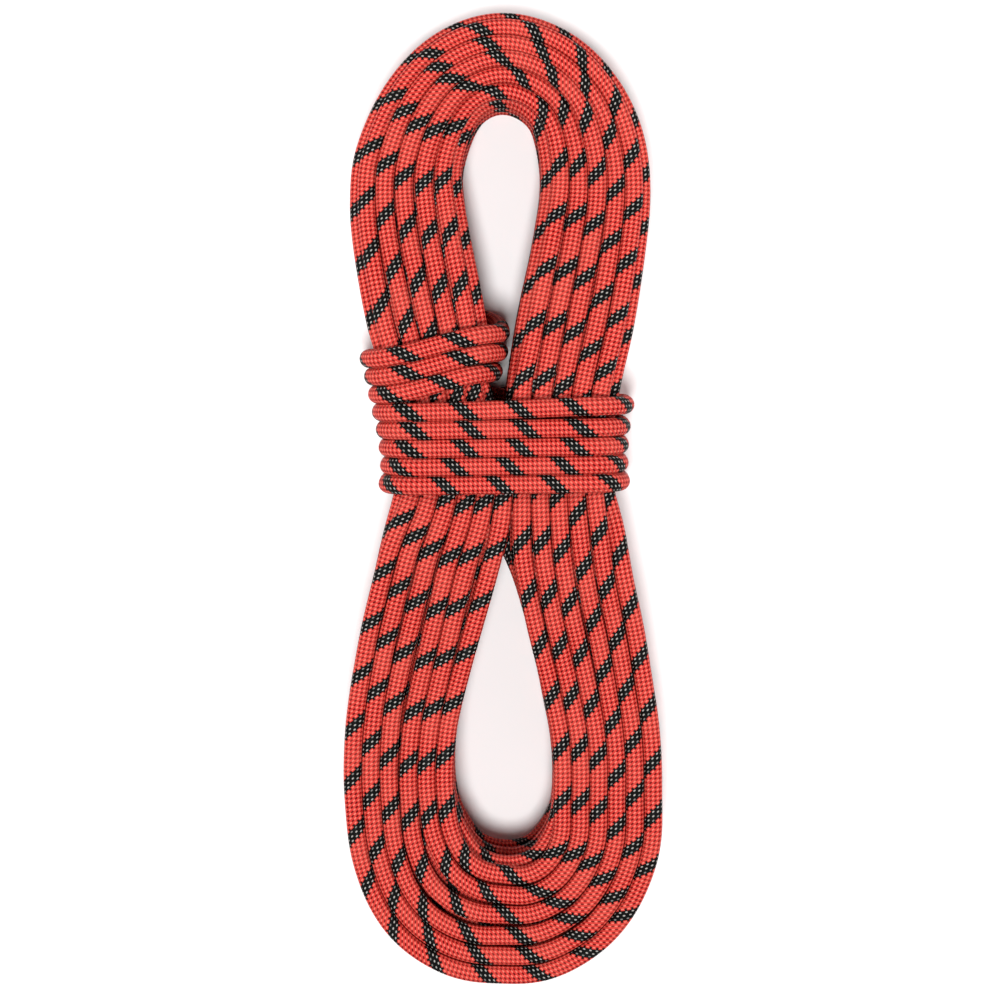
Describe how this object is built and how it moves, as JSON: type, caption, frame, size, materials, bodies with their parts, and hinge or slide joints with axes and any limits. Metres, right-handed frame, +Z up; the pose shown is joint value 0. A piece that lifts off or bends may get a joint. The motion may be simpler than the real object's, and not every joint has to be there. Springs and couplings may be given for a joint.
{
  "type": "dynamic climbing rope hank",
  "caption": "Kernmantle dynamic climbing rope in a braided sheath with a helical tracer, wound into a long figure-of-eight hank, wrapped at the waist, lying flat.",
  "frame": {"origin": "centre of the footprint, on the surface that the hank lies on", "axes": "+Y along the hank towards its upper loop, +Z up, away from the surface, +X to the right seen from above"},
  "size_m": [0.1702, 0.5213, 0.0741],
  "materials": {
    "sheath": "braided polyamide sheath, coral red with a black tracer band that holds two rows of pale grey dashes, low sheen",
    "core": "twisted white polyamide yarn",
    "marker": "plain dyed thread",
    "sleeve": "heat-shrunk polymer sleeve, satin",
    "tip": "melted and set rope end"
  },
  "bodies": {
    "root": {"hank_turns": "sheath", "waist_wraps": "sheath", "leg_wraps": "sheath", "start_tail_sheath": "sheath", "start_core_strand_01": "core", "start_core_strand_02": "core", "start_core_strand_03": "core", "start_core_strand_04": "core", "start_core_strand_05": "core", "start_core_strand_06": "core", "start_core_strand_07": "core", "start_core_strand_08": "core", "start_core_strand_09": "core", "start_core_strand_10": "core", "start_core_strand_11": "core", "start_core_strand_12": "core", "start_marker_thread": "marker", "start_end_sleeve": "sleeve", "start_fused_tip": "tip", "finish_tail_sheath": "sheath", "finish_core_strand_01": "core", "finish_core_strand_02": "core", "finish_core_strand_03": "core", "finish_core_strand_04": "core", "finish_core_strand_05": "core", "finish_core_strand_06": "core", "finish_core_strand_07": "core", "finish_core_strand_08": "core", "finish_core_strand_09": "core", "finish_core_strand_10": "core", "finish_core_strand_11": "core", "finish_core_strand_12": "core", "finish_marker_thread": "marker", "finish_end_sleeve": "sleeve", "finish_fused_tip": "tip"}
  },
  "joints": []
}
